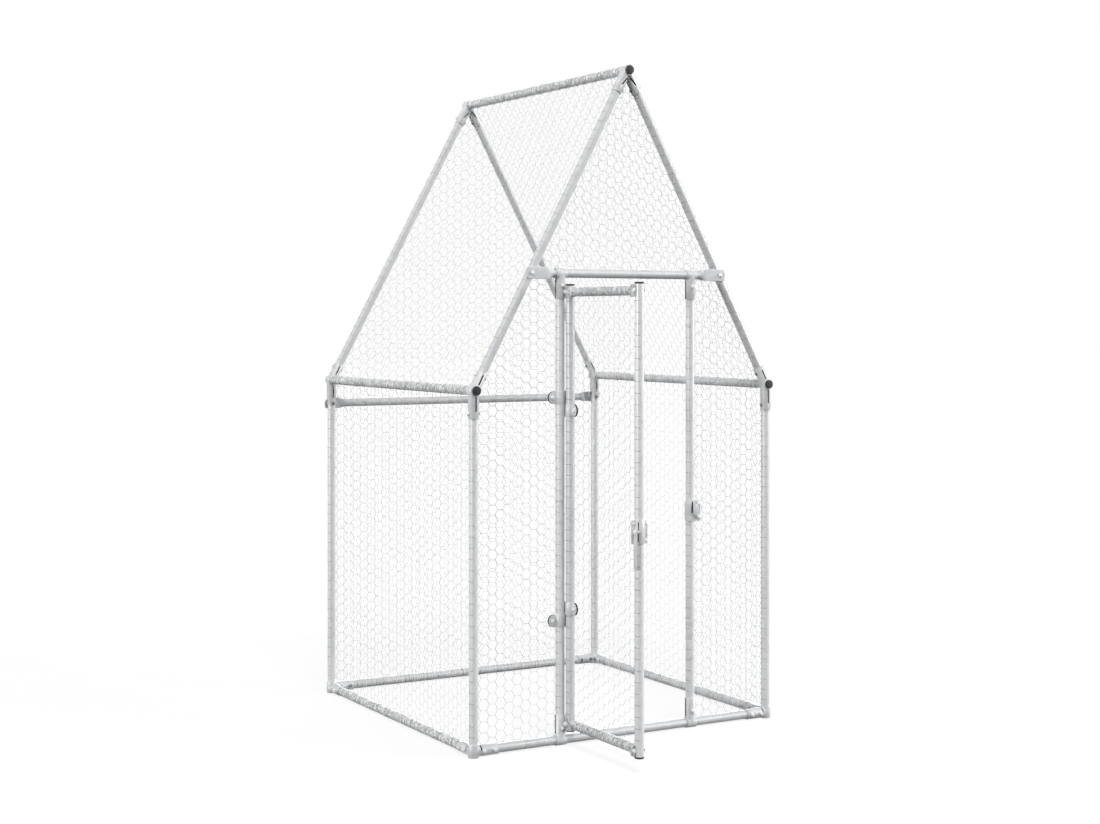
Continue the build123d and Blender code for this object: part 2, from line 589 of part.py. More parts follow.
# Netting of the back and the front gables
gable_strips, gable_discs = [], [(0, ridge_z)]
for x, inward in ((left, 1), (right, -1)):
    up, down_in = (inward * rafter_run, rafter_climb), (inward * rafter_climb, -rafter_run)
    gable_discs.append((x, eave_z))
    gable_strips.append(((x, 0), (0, 1), foot_top, sleeve_radius))
    gable_strips.append(((x, base_z), (inward, 0), base_arm, sleeve_radius))
    gable_strips.append(((x, eave_z), (0, -1), eave_post_arm, sleeve_radius))
    gable_strips.append(((x, eave_z), up, eave_rafter_arm, sleeve_radius))
    gable_strips.append(((0, ridge_z), (-up[0], -up[1]), ridge_arm, sleeve_radius))
    gable_strips.append(((x, eave_z - eave_post_arm + arm_bolt_setback), (inward, 0), bolt_strip, bolt_half))
    for reach in (eave_rafter_arm - arm_bolt_setback, rafter_length - ridge_arm + arm_bolt_setback):
        gable_strips.append((along((x, eave_z), up, reach), down_in, bolt_strip, bolt_half))
back_plane = Plane(origin=(0, back, 0), x_dir=RIGHTWARDS, z_dir=FRONTWARDS)
back_outline = [(left, base_z), (right, base_z), (right, eave_z), (0, ridge_z), (left, eave_z)]
nodes["net_back"] = net_sheet(back_plane, back_outline, gable_strips, gable_discs)
front_plane = Plane(origin=(0, front, 0), x_dir=RIGHTWARDS, z_dir=FRONTWARDS)
front_strips = gable_strips + post_strips
front_strips += taper_strips(2 * head_half, 0, head_z, head_pad_length, frame_pad_overhang)
for x in (hinge_x, latch_x):
    for z, way in ((base_z, 1), (head_z, -1)):
        front_strips.append(((x, z), (0, way), tee_arm, sleeve_radius))
        front_strips.append(((x - ring_half, z), (1, 0), 2 * ring_half, sleeve_radius))
for side, side_x, post_x, head_x in (("left", left, hinge_x, -head_half),
                                     ("right", right, latch_x, head_half)):
    panel = [(side_x, base_z), (post_x, base_z), (post_x, head_z), (head_x, head_z), (side_x, eave_z)]
    nodes[f"net_front_{side}"] = net_sheet(front_plane, panel, front_strips, gable_discs)
gable = [(-head_half, head_z), (head_half, head_z), (0, ridge_z)]
nodes["net_front_gable"] = net_sheet(front_plane, gable, front_strips, gable_discs)

# Netting of the door
door_outline = [(hinge_stile_x, bottom_rail_z), (lock_stile_x, bottom_rail_z),
                (lock_stile_x, top_rail_z), (hinge_stile_x, top_rail_z)]
door_parts["net_door"] = net_sheet(front_plane, door_outline, door_strips)

# The door and its lever are drawn shut, then swung open about the hinge pins
hinge_axis = Axis((pin_x, front, 0), UP)
for name, shape in door_parts.items():
    nodes[name] = shape.rotate(hinge_axis, -door_open_angle)

os.makedirs("parts", exist_ok=True)
for name, shape in nodes.items():
    export_step(shape, f"parts/{name}.step")
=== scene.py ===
"""Looks of a walk-in chicken cage: galvanised tube, pressed sleeves, hexagonal netting, black plugs.

Metres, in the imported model's frame: +Z up, +Y from the front gable to the back, origin on the floor
under the middle of the cage. The door is drawn shut and then swung open, as it stands at rest.
"""
import math

import bmesh
import bpy
from mathutils import Matrix, Vector


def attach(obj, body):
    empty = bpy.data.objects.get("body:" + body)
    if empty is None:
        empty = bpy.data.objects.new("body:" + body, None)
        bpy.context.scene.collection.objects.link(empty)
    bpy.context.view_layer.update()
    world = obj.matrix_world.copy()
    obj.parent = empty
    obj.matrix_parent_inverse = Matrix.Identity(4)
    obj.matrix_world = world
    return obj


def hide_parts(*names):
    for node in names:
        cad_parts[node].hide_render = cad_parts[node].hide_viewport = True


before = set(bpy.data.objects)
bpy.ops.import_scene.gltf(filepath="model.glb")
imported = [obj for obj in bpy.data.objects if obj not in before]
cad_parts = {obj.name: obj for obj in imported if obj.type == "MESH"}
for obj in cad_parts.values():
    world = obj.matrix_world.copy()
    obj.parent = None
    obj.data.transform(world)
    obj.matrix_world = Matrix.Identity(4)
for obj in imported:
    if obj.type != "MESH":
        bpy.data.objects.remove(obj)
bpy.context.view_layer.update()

# Sizes of the cage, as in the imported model
frame_width, frame_depth = 0.975, 0.973
base_z, tie_z, eave_z, head_z, ridge_z = 0.017, 0.915, 0.989, 1.309, 1.886
hinge_x, latch_x = -0.2174, 0.2174
tube_radius, sleeve_radius = 0.0125, 0.01505
tube_overhang, foot_thickness = 0.0165, 0.0025

# Arms of the sleeve connectors, their bolts, their open seams and their notches
base_arm, eave_post_arm, eave_rafter_arm, ridge_arm, tee_arm = 0.072, 0.076, 0.056, 0.072, 0.070
base_bolts = (0.026, 0.059)
arm_bolt_setback, tee_bolt_reach = 0.014, 0.034
seam_width, seam_root, seam_lift, seam_reach = 0.004, 0.002, 0.0004, 0.01445
post_seam_tail, rafter_seam_tail = 0.019, 0.008
ridge_seam_drop, ridge_seam_tail, ridge_seam_start = 0.0175, 0.024, 0.25
notch_middle, notch_width = 0.01805, 0.004

# Bars with pressed ends: a pad is its length and its reach past its bolt, and two powers shape its section
pad_height, pad_thickness, pad_corner, taper_length = 0.034, 0.0024, 0.008, 0.023
pad_squareness, pad_roundness = 0.35, 0.8
tie_pad, head_pad, rail_pad = (0.046, 0.016), (0.064, 0.016), (0.021, 0.005)

# Door, hinges and latch: a hinge is its height and where its post strap sits, 1 above that and -1 below
hinge_pitch = 0.0412
door_bottom, door_top = 0.042, 1.279
top_rail_z, bottom_rail_z = 1.257, 0.063
cap_thickness = 0.005
hinge_heights = ((0.947, 1), (0.365, -1))
strap_height, strap_gap = 0.034, 0.001
ear_bolt_reach, ear_grip, ear_reach = 0.026, 0.0025, 0.021
ear_gap_width, ear_gap_lift = 0.0048, 0.0003
latch_z, clamp_bolt_rise, clamp_flange_middle, clamp_grip = 0.630, 0.022, 0.01907, 0.00175
clamp_slot_rise, clamp_slot_length, clamp_slot_width, clamp_slot_angle = 0.0155, 0.020, 0.0026, 43.0
keeper_bolt_x, keeper_bolt_rise, keeper_wall, strap_wall = 0.020775, 0.019, 0.0015, 0.0015
lever_offset, lever_front = 0.010, 0.0195
hook_x, hook_low, hook_high, hook_throat = 0.2160, 0.6216, 0.655, 0.004

# Bolts: each step has its sides, two radii as shares of the width and two heights as shares of the whole
bolt_width, bolt_height, nut_height = 0.010, 0.003, 0.004
bolt_sink, small_bolt = 0.0003, 0.8
head_steps = ((16, 0.56, 0.55, 0.0, 0.3), (16, 0.55, 0.42, 0.3, 0.72), (16, 0.42, 0.14, 0.72, 1.0))
nut_steps = ((6, 0.577, 0.577, 0.0, 0.85), (12, 0.5, 0.42, 0.8, 0.95), (10, 0.3, 0.26, 0.9, 1.35))

# The netting and how it is laced to the tubes: a spin is the range in which a loop starts, in degrees
net_cell = 0.030
net_column = net_cell * math.sqrt(3) / 2
net_wire_radius, twist_wire_radius = 0.0006, 0.00036
net_tuck, twist_turns, spare_cells = 0.0015, 1.5, 2
tie_radius = 0.0006
tie_rise, tie_turns = 0.0015, 0.5
lacing_rise, lacing_turns = 0.022, 2.6
tie_margin, tube_bare_end, stile_bare_end, rail_bare_end = 0.01, 0.03, 0.025, 0.05
all_round, left_half = (0, 360), (236, 256)

# How finely round shapes are drawn, how edges are broken, and the angles that make a crease
tube_sides, bar_sides, wire_sides = 32, 40, 3
twist_steps, tie_steps, taper_steps = 4, 10, 12
corner_step = 15
edge_break, plug_edge_break, merge_distance = 0.0004, 0.001, 1e-5
flat_angle, plain_crease, bar_crease, bolt_crease, wire_crease = 1.0, 35.0, 50.0, 30.0, 80.0

# The zinc: how its flakes, clouds and grain show in its tone, its roughness and its relief
zinc_metallic = 0.03
zinc_cloud_scale, zinc_grain_scale, grain_detail = 9.0, 600.0, 2.0
tone_spread, tone_drop, bolt_mottle = 1.2, 0.1, 0.3
zinc_roughness, flake_roughness, cloud_roughness = 0.24, 0.06, 0.08
zinc_relief, flake_relief = {"Strength": 0.06, "Distance": 0.0006}, 0.3

# The black of plugs and seams
black_cloud_scale, black_grain_scale = 60.0, 900.0
black_roughness, black_cloud_roughness = 0.42, 0.2
black_relief = {"Strength": 0.15, "Distance": 0.0003}

# The studio and its camera: a lamp is its strength, softness, azimuth and elevation, all angles in degrees
camera_place, camera_turn = (-2.7177, -4.7741, 1.1863), -29.927
lens_length, lens_width, lens_shift = 58.624, 36.0, -0.0859
floor_reach, floor_roughness = 40.0, 0.9
floor_shown, floor_bounced, floor_lift = 0.22, 0.03, 0.815
world_fill = 0.025
lamps = {"top": (1.6, 24.0, -16.0, 54.0),
         "key": (0.65, 14.0, 36.0, 35.0),
         "high_side": (0.5, 10.0, -72.0, 39.0),
         "low_left": (1.9, 12.0, -84.0, 2.0),
         "low_back": (1.0, 30.0, -130.0, 2.0),
         "far_side": (2.1, 14.0, 71.0, 7.0),
         "front_right": (0.55, 16.0, 40.0, 14.0),
         "back": (1.2, 24.0, 150.0, 6.0)}

# Worked out from the sizes above
left, right = -frame_width / 2, frame_width / 2
front, back = -frame_depth / 2, frame_depth / 2
sleeve_seat = sleeve_radius
pin_x = hinge_x + hinge_pitch / 2
hinge_stile_x, lock_stile_x = hinge_x + hinge_pitch, latch_x - hinge_pitch
rafter_length = math.hypot(frame_width / 2, ridge_z - eave_z)
rafter_run, rafter_climb = frame_width / 2 / rafter_length, (ridge_z - eave_z) / rafter_length
ridge_seat = sleeve_radius / rafter_run
head_half = frame_width / 2 * (ridge_z - head_z) / (ridge_z - eave_z)
corners = {"front_left": (left, front), "front_right": (right, front),
           "back_left": (left, back), "back_right": (right, back)}
X, Y, Z = Vector((1, 0, 0)), Vector((0, 1, 0)), Vector((0, 0, 1))
at_rest = Matrix.Identity(4)
door_open = (Matrix.Translation((pin_x, front, 0)) @ Matrix.Rotation(math.radians(-90), 4, "Z")
             @ Matrix.Translation((-pin_x, -front, 0)))


def uphill(x):
    """The direction of the rafter that starts at the eave at x."""
    return Vector((-math.copysign(rafter_run, x), 0, rafter_climb))


class Signal:
    """An output of a node tree that takes part in Python expressions."""

    def __init__(self, tree, output):
        self.tree = tree
        self.output = output

    def math(self, operation, first, second):
        return self.tree.node("ShaderNodeMath", {"operation": operation}, {0: first, 1: second})

    def __add__(self, other):
        return self.math("ADD", self, other)

    def __radd__(self, other):
        return self.math("ADD", other, self)

    def __sub__(self, other):
        return self.math("SUBTRACT", self, other)

    def __rsub__(self, other):
        return self.math("SUBTRACT", other, self)

    def __mul__(self, other):
        return self.math("MULTIPLY", self, other)

    def __rmul__(self, other):
        return self.math("MULTIPLY", other, self)

    def __truediv__(self, other):
        return self.math("DIVIDE", self, other)

    def __mod__(self, other):
        return self.math("MODULO", self, other)


class Tree:
    """A shader or geometry tree; one method adds all nodes but a group's own input and output."""

    def __init__(self, node_tree):
        self.node_tree = node_tree

    def node(self, kind, settings=None, inputs=None, output=0):
        """Adds a node: its settings first, then the value or the links of each socket."""
        made = self.node_tree.nodes.new(kind)
        for name, value in (settings or {}).items():
            setattr(made, name, value)
        for key, value in (inputs or {}).items():
            place = made.inputs[key]
            for part in value if isinstance(value, list) else [value]:
                if isinstance(part, Signal):
                    self.node_tree.links.new(part.output, place)
                else:
                    place.default_value = part
        return Signal(self, made.outputs[output])


def new_finish(name, **values):
    """A new material, its tree and its shader, with the values that are the same all over a surface."""
    material = bpy.data.materials.new(name)
    material.use_nodes = True
    shader = material.node_tree.nodes["Principled BSDF"]
    for socket, value in values.items():
        shader.inputs[socket.replace("_", " ")].default_value = value
    return material, Tree(material.node_tree), shader


def feed(tree, shader, **sockets):
    """Links what changes over a surface to the shader's sockets."""
    for name, signal in sockets.items():
        tree.node_tree.links.new(signal.output, shader.inputs[name.replace("_", " ")])


def noise(tree, place, scale, detail=3.0):
    """Smooth noise from 0 to 1."""
    return tree.node("ShaderNodeTexNoise", {}, {"Vector": place, "Scale": scale, "Detail": detail})


def blend_colour(tree, factor, dark, pale):
    """A colour between two shades of one finish."""
    return tree.node("ShaderNodeMix", {"data_type": "RGBA", "clamp_factor": True},
                     {"Factor": factor, 6: (*dark, 1), 7: (*pale, 1)}, output=2)


def galvanised(name, dark, pale, spangle=85.0, flakes=0.45, painted_light_by=None):
    """Dipped zinc: spangles that differ in tone, clouding, and a fine orange-peel surface.

    Where an attribute is named, it carries painted light: the finish is pale where it is 1 and darkened to
    painted shade where it is 0.
    """
    material, tree, shader = new_finish(name, Metallic=zinc_metallic)
    place = tree.node("ShaderNodeTexCoord", output="Object")
    flake = tree.node("ShaderNodeTexVoronoi", {}, {"Vector": place, "Scale": spangle}, output="Color")
    flake_tone = tree.node("ShaderNodeSeparateColor", {}, {"Color": flake})
    cloud = noise(tree, place, zinc_cloud_scale)
    grain = noise(tree, place, zinc_grain_scale, grain_detail)
    tone = flake_tone * flakes + cloud * (tone_spread - flakes) - tone_drop
    if painted_light_by:
        shown = tree.node("ShaderNodeAttribute", {"attribute_name": painted_light_by}, output="Fac")
        tone = shown * (tone * bolt_mottle + (1 - bolt_mottle))
    bump = tree.node("ShaderNodeBump", {}, {**zinc_relief, "Height": grain + flake_tone * flake_relief})
    roughness = zinc_roughness + flake_tone * flake_roughness + cloud * cloud_roughness
    feed(tree, shader, Base_Color=blend_colour(tree, tone, dark, pale), Roughness=roughness, Normal=bump)
    return material


def dull_black(name, dark, pale, gloss):
    """Moulded plugs and the shade inside a seam: near black, with a fine grain."""
    material, tree, shader = new_finish(name, Specular_IOR_Level=gloss)
    place = tree.node("ShaderNodeTexCoord", output="Object")
    grain = noise(tree, place, black_grain_scale, grain_detail)
    cloud = noise(tree, place, black_cloud_scale)
    bump = tree.node("ShaderNodeBump", {}, {**black_relief, "Height": grain})
    roughness = black_roughness + cloud * black_cloud_roughness
    feed(tree, shader, Base_Color=blend_colour(tree, cloud, dark, pale), Roughness=roughness, Normal=bump)
    return material


def seen_directly(tree):
    """1 for what the camera sees, directly or by way of metal or glass, and 0 for light on the object."""
    camera, glossy, through = [tree.node("ShaderNodeLightPath", output=f"Is {kind} Ray")
                               for kind in ("Camera", "Glossy", "Transmission")]
    return camera + glossy + through


def plain_floor():
    """The pale studio floor: white as it is seen, with less light thrown back up on the object."""
    material, tree, shader = new_finish("pale_floor", Roughness=floor_roughness, Specular_IOR_Level=0.0,
                                        Emission_Strength=1.0)
    seen = seen_directly(tree)
    feed(tree, shader, Base_Color=blend_colour(tree, seen, (floor_bounced,) * 3, (floor_shown,) * 3),
         Emission_Color=blend_colour(tree, seen, (0, 0, 0), (floor_lift,) * 3))
    return material


tube_zinc = galvanised("tube_zinc", (0.6, 0.61, 0.62), (0.74, 0.75, 0.76))
# A darker copy of the tube zinc, painting the shade that falls on the level tubes, rafters, bars and hinge
# stile
level_zinc_painted_shade = galvanised("level_zinc_painted_shade", (0.5, 0.51, 0.52), (0.63, 0.64, 0.65))
laced_zinc = galvanised("laced_zinc", (0.28, 0.285, 0.29), (0.8, 0.81, 0.82), spangle=150.0, flakes=1.0)
# A darker copy of the tube zinc with strong flecks, painting shade and glints on the door rails
rail_zinc_painted_shade_glints = galvanised("rail_zinc_painted_shade_glints", (0.22, 0.225, 0.23), (0.64, 0.65, 0.66), spangle=150.0, flakes=1.0)
fitting_zinc = galvanised("fitting_zinc", (0.52, 0.53, 0.54), (0.68, 0.69, 0.7), spangle=140.0)
# Bolt zinc is pale where a point's painted light is 1 and dark where it is 0: painted shade on most nuts and
# on the hinge pins
bolt_zinc = galvanised("bolt_zinc", (0.16, 0.165, 0.17), (0.97, 0.97, 0.97), spangle=300.0, painted_light_by="bright")
wire_zinc = galvanised("wire_zinc", (0.55, 0.555, 0.56), (0.69, 0.695, 0.7), spangle=40.0)
# The ties and the lacing are one zinc wire in painted tones: the ties darkened to paint the shade of shadowed
# ticks, less so on the posts, and the lacing coils lightened to paint highlights
tie_painted_shade = galvanised("tie_painted_shade", (0.1, 0.105, 0.11), (0.18, 0.185, 0.19), spangle=40.0)
post_tie_painted_shade = galvanised("post_tie_painted_shade", (0.22, 0.225, 0.23), (0.34, 0.345, 0.35), spangle=40.0)
lace_painted_highlight = galvanised("lace_painted_highlight", (0.84, 0.85, 0.86), (0.92, 0.92, 0.92), spangle=40.0)
plug_black = dull_black("plug_black", (0.012, 0.012, 0.013), (0.03, 0.031, 0.032), gloss=0.25)
# Near black, painting the shade inside seams, slots, notches and gaps
seam_painted_shade = dull_black("seam_painted_shade", (0.008, 0.008, 0.008), (0.02, 0.02, 0.02), gloss=0.0)


def dress(piece, body, slot, *nodes):
    """A finished piece rides on its body and stands for its CAD nodes; its slot is not used."""
    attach(piece, body)
    if nodes:
        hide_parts(*nodes)


def new_object(name, mesh, material):
    """A piece at the origin, with its place in its mesh."""
    piece = bpy.data.objects.new(name, mesh)
    bpy.context.scene.collection.objects.link(piece)
    mesh.materials.clear()
    mesh.materials.append(material)
    return piece


def smooth(mesh, degrees=plain_crease):
    """Smooth shading, with creases where faces meet at more than an angle."""
    mesh.polygons.foreach_set("use_smooth", [True] * len(mesh.polygons))
    mesh.set_sharp_from_angle(angle=math.radians(degrees))


def geometry_tree(name, inputs):
    """A geometry tree with one output, and its named inputs."""
    group = bpy.data.node_groups.new(name, "GeometryNodeTree")
    group.interface.new_socket("Geometry", in_out="OUTPUT", socket_type="NodeSocketGeometry")
    for label, kind in inputs.items():
        group.interface.new_socket(label, in_out="INPUT", socket_type=f"NodeSocket{kind}")
    tree = Tree(group)
    source = group.nodes.new("NodeGroupInput")
    given = {label: Signal(tree, source.outputs[label]) for label in inputs}
    return tree, given


def end_tree(tree, instances, material):
    """Closes a geometry tree: real geometry, with its material."""
    real = tree.node("GeometryNodeRealizeInstances", {}, {"Geometry": instances})
    shown = tree.node("GeometryNodeSetMaterial", {}, {"Geometry": real, "Material": material})
    sink = tree.node_tree.nodes.new("NodeGroupOutput")
    tree.node_tree.links.new(shown.output, sink.inputs["Geometry"])
    return tree.node_tree


def grown_mesh(name, group, values, base=None):
    """The plain mesh that a geometry tree gives for the values of its named inputs."""
    carrier = bpy.data.objects.new(name, base or bpy.data.meshes.new(name))
    bpy.context.scene.collection.objects.link(carrier)
    modifier = carrier.modifiers.new(name, "NODES")
    modifier.node_group = group
    sockets = {item.name: item.identifier for item in group.interface.items_tree if item.in_out == "INPUT"}
    for label, value in values.items():
        modifier[sockets[label]] = value
    seen = carrier.evaluated_get(bpy.context.evaluated_depsgraph_get())
    mesh = bpy.data.meshes.new_from_object(seen)
    bpy.data.objects.remove(carrier)
    mesh.name = name
    return mesh


def ring(tree, sides, radius):
    """A round section of a tube or a wire."""
    return tree.node("GeometryNodeCurvePrimitiveCircle", {}, {"Resolution": sides, "Radius": radius})


def straight(tree, start, end):
    """A straight line between two points."""
    return tree.node("GeometryNodeCurvePrimitiveLine", {}, {"Start": start, "End": end})


def helix(tree, steps, turns, radius, rise):
    """A coil that climbs along Z."""
    return tree.node("GeometryNodeCurveSpiral", {}, {"Resolution": steps, "Rotations": turns, "Height": rise,
                                                     "Start Radius": radius, "End Radius": radius})


def swept(tree, path, section):
    """A bar with closed ends along a path."""
    return tree.node("GeometryNodeCurveToMesh", {}, {"Curve": path, "Profile Curve": section,
                                                     "Fill Caps": True})


def joined(tree, parts):
    """Several shapes as one."""
    return tree.node("GeometryNodeJoinGeometry", {}, {"Geometry": parts})


def vector(tree, **parts):
    """A vector from those of its parts that aren't zero."""
    return tree.node("ShaderNodeCombineXYZ", {}, parts)


def carried(tree, name, kind):
    """What each point carries under a name."""
    return tree.node("GeometryNodeInputNamedAttribute", {"data_type": kind}, {"Name": name})


def along_axis(tree):
    """The turn that takes Z to the axis that each point carries."""
    axis = carried(tree, "axis", "FLOAT_VECTOR")
    return tree.node("FunctionNodeAlignRotationToVector", {"axis": "Z"}, {"Vector": axis})


def tube_tree():
    """A round tube between two points."""
    tree, given = geometry_tree("frame_tube", {"Start": "Vector", "End": "Vector", "Radius": "Float",
                                               "Sides": "Int", "Material": "Material"})
    line = straight(tree, given["Start"], given["End"])
    tube = swept(tree, line, ring(tree, given["Sides"], given["Radius"]))
    return end_tree(tree, tube, given["Material"])


def net_tree():
    """Hexagonal netting: every cell brings its twisted top strand and its two right-hand wires."""
    tree, given = geometry_tree("hexagon_net", {"Columns": "Int", "Rows": "Int", "Cell": "Float",
                                                "Wire": "Float", "Twist": "Float", "Turns": "Float",
                                                "Material": "Material"})
    columns, rows, cell = given["Columns"], given["Rows"], given["Cell"]
    side = cell / math.sqrt(3)
    column_step = side * 1.5
    grid = tree.node("GeometryNodeMeshGrid", {}, {"Vertices X": columns, "Vertices Y": rows,
                                                  "Size X": (columns - 1) * column_step,
                                                  "Size Y": (rows - 1) * cell})
    # The grid counts its points up each column; the half keeps the division clear of whole numbers
    index = tree.node("GeometryNodeInputIndex")
    column = tree.node("ShaderNodeMath", {"operation": "FLOOR"}, {0: (index + 0.5) / rows})
    stagger = vector(tree, Y=(column % 2) * cell * 0.5)
    middles = tree.node("GeometryNodeSetPosition", {}, {"Geometry": grid, "Offset": stagger})
    top_right = vector(tree, X=side * 0.5, Y=cell * 0.5)
    far_right = vector(tree, X=side)
    low_right = vector(tree, X=side * 0.5, Y=cell * -0.5)
    wire = ring(tree, wire_sides, given["Wire"])
    strands = [swept(tree, straight(tree, start, end), wire)
               for start, end in ((top_right, far_right), (far_right, low_right))]
    twist_wire = ring(tree, wire_sides, given["Twist"])
    top_left = vector(tree, X=side * -0.5, Y=cell * 0.5)
    for phase in (0.0, math.pi):
        strand = helix(tree, twist_steps, given["Turns"], given["Twist"], side)
        turned = tree.node("GeometryNodeTransform", {}, {"Geometry": strand, "Rotation": (0, 0, phase)})
        laid = tree.node("GeometryNodeTransform", {}, {"Geometry": turned, "Translation": top_left,
                                                       "Rotation": (0, math.pi / 2, 0)})
        strands.append(swept(tree, laid, twist_wire))
    one_cell = joined(tree, strands)
    sheet = tree.node("GeometryNodeInstanceOnPoints", {}, {"Points": middles, "Instance": one_cell})
    return end_tree(tree, sheet, given["Material"])


def tie_tree():
    """Lacing wire: one loop round a tube at every point, each turned a little differently."""
    tree, given = geometry_tree("net_ties", {"Points": "Geometry", "Tube": "Float", "Wire": "Float",
                                             "Rise": "Float", "Turns": "Float", "Spin Low": "Float",
                                             "Spin High": "Float", "Seed": "Int", "Material": "Material"})
    path = helix(tree, tie_steps, given["Turns"], given["Tube"] + given["Wire"], given["Rise"])
    loop = swept(tree, path, ring(tree, wire_sides, given["Wire"]))
    spin = tree.node("FunctionNodeRandomValue", {"data_type": "FLOAT"},
                     {2: given["Spin Low"], 3: given["Spin High"], "Seed": given["Seed"]}, output=1)
    loops = tree.node("GeometryNodeInstanceOnPoints", {}, {"Points": given["Points"], "Instance": loop,
                                                           "Rotation": along_axis(tree)})
    turned = tree.node("GeometryNodeRotateInstances", {}, {"Instances": loops, "Local Space": True,
                                                           "Rotation": vector(tree, Z=spin)})
    return end_tree(tree, turned, given["Material"])


def bolt_tree():
    """A domed bolt head or a nut with its bolt's end, standing on every point along its axis."""
    tree, given = geometry_tree("bolts", {"Points": "Geometry", "Width": "Float", "Height": "Float",
                                          "Nut": "Float", "Material": "Material"})

    def stacked(steps, height):
        """Steps on top of each other, the lowest sunk a little into what it stands on."""
        cones = []
        for sides, low_radius, high_radius, low, high in steps:
            foot = height * low - (0.0 if low else bolt_sink)
            cone = tree.node("GeometryNodeMeshCone", {}, {"Vertices": sides, "Depth": height * high - foot,
                                                          "Radius Bottom": given["Width"] * low_radius,
                                                          "Radius Top": given["Width"] * high_radius})
            cones.append(tree.node("GeometryNodeTransform", {}, {"Geometry": cone,
                                                                 "Translation": vector(tree, Z=foot)}))
        return joined(tree, cones)

    kinds = [stacked(nut_steps, given["Nut"]), stacked(head_steps, given["Height"])]
    choices = tree.node("GeometryNodeGeometryToInstance", {}, {"Geometry": kinds})
    placed = tree.node("GeometryNodeInstanceOnPoints", {}, {"Points": given["Points"], "Instance": choices,
                                                            "Pick Instance": True,
                                                            "Instance Index": carried(tree, "kind", "INT"),
                                                            "Rotation": along_axis(tree),
                                                            "Scale": carried(tree, "size", "FLOAT")})
    return end_tree(tree, placed, given["Material"])


def point_mesh(name, points, pose):
    """A mesh of loose points that carry their axis, their kind, their size and their painted light, 1 for
    pale and 0 for painted shade.
    """
    places, axes, kinds, sizes, painted_lights = zip(*points)
    mesh = bpy.data.meshes.new(name)
    mesh.from_pydata([tuple(pose @ place) for place in places], [], [])
    turned = [pose.to_3x3() @ axis for axis in axes]
    for label, kind in (("axis", "FLOAT_VECTOR"), ("kind", "INT"), ("size", "FLOAT"), ("bright", "FLOAT")):
        mesh.attributes.new(label, kind, "POINT")
    mesh.attributes["axis"].data.foreach_set("vector", [part for axis in turned for part in axis])
    mesh.attributes["kind"].data.foreach_set("value", kinds)
    mesh.attributes["size"].data.foreach_set("value", sizes)
    mesh.attributes["bright"].data.foreach_set("value", painted_lights)
    return mesh


# Round tubes
tube_group = tube_tree()


def frame_tube(node, start, end, zinc=tube_zinc, body="frame", pose=at_rest):
    """One length of galvanised tube in the place of its CAD node."""
    mesh = grown_mesh(f"{node}_tube", tube_group, {"Start": pose @ Vector(start), "End": pose @ Vector(end),
                                                   "Radius": tube_radius, "Sides": tube_sides,
                                                   "Material": zinc})
    smooth(mesh)
    dress(new_object(f"{node}_tube", mesh, zinc), body, "galvanised_tube", node)


for corner, (x, y) in corners.items():
    frame_tube(f"post_{corner}", (x, y, foot_thickness), (x, y, eave_z - sleeve_seat))
    eave_point = Vector((x, y, eave_z))
    frame_tube(f"rafter_{corner}", eave_point + uphill(x) * sleeve_seat,
               eave_point + uphill(x) * (rafter_length - ridge_seat), level_zinc_painted_shade)
for side, x, zinc in (("left", left, laced_zinc), ("right", right, level_zinc_painted_shade)):
    frame_tube(f"eave_tube_{side}", (x, front - tube_overhang, eave_z), (x, back + tube_overhang, eave_z),
               zinc)
    frame_tube(f"base_tube_{side}", (x, front + sleeve_seat, base_z), (x, back - sleeve_seat, base_z), zinc)
for side, y in (("front", front), ("back", back)):
    frame_tube(f"base_tube_{side}", (left + sleeve_seat, y, base_z), (right - sleeve_seat, y, base_z),
               level_zinc_painted_shade)
frame_tube("ridge_tube", (0, front - tube_overhang, ridge_z), (0, back + tube_overhang, ridge_z), laced_zinc)
for post, x in (("hinge_post", hinge_x), ("latch_post", latch_x)):
    frame_tube(post, (x, front, base_z + sleeve_seat), (x, front, head_z - sleeve_seat))
for stile, x, zinc in (("door_hinge_stile", hinge_stile_x, level_zinc_painted_shade),
                       ("door_lock_stile", lock_stile_x, tube_zinc)):
    stile_foot, stile_head = (x, front, door_bottom + cap_thickness), (x, front, door_top - cap_thickness)
    frame_tube(stile, stile_foot, stile_head, zinc, "door", door_open)


# Bars with pressed ends
def pressed_section(flat, squeeze, offset):
    """A bar's section, from round to pressed flat; squeeze narrows it at its rounded end."""
    points = []
    for step in range(bar_sides):
        angle = 2 * math.pi * step / bar_sides
        across, up = math.cos(angle), math.sin(angle)
        thin = math.copysign(abs(across) ** pad_squareness, across) * pad_thickness / 2
        tall = math.copysign(abs(up) ** pad_roundness, up) * pad_height / 2 * squeeze
        points.append((across * tube_radius * (1 - flat) + (thin + offset) * flat,
                       up * tube_radius * (1 - flat) + tall * flat))
    return points


